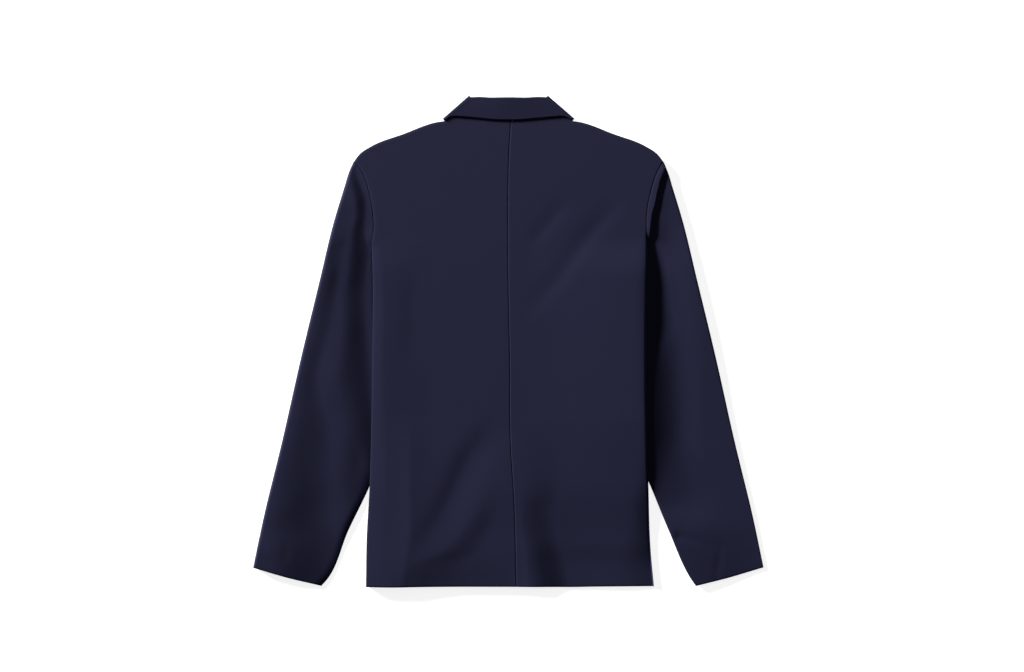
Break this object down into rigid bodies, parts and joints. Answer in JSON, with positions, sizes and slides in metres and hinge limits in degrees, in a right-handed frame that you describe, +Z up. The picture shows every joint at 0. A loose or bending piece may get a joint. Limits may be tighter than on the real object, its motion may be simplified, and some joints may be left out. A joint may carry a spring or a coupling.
{
  "type": "blazer",
  "caption": "Plain tailored blazer laid flat on its front, back uppermost, sleeves beside the body, notched collar turned under at the neck.",
  "frame": {"origin": "centre of the bounding box, on the surface that the blazer lies on", "axes": "seen from above with the back uppermost, +X to the right across the shoulders, +Y towards the collar, +Z up from the surface"},
  "size_m": [0.766, 0.736, 0.0123],
  "materials": {
    "wool": "fine navy worsted twill with a faint sheen",
    "horn": "dark polished horn"
  },
  "bodies": {
    "root": {"back_left": "wool", "back_right": "wool", "front_left": "wool", "front_right": "wool", "lapel_left": "wool", "lapel_right": "wool", "sleeve_left_upper": "wool", "sleeve_left_under": "wool", "sleeve_right_upper": "wool", "sleeve_right_under": "wool", "collar": "wool", "collar_stand": "wool", "button_upper": "horn", "button_lower": "horn"}
  },
  "joints": []
}
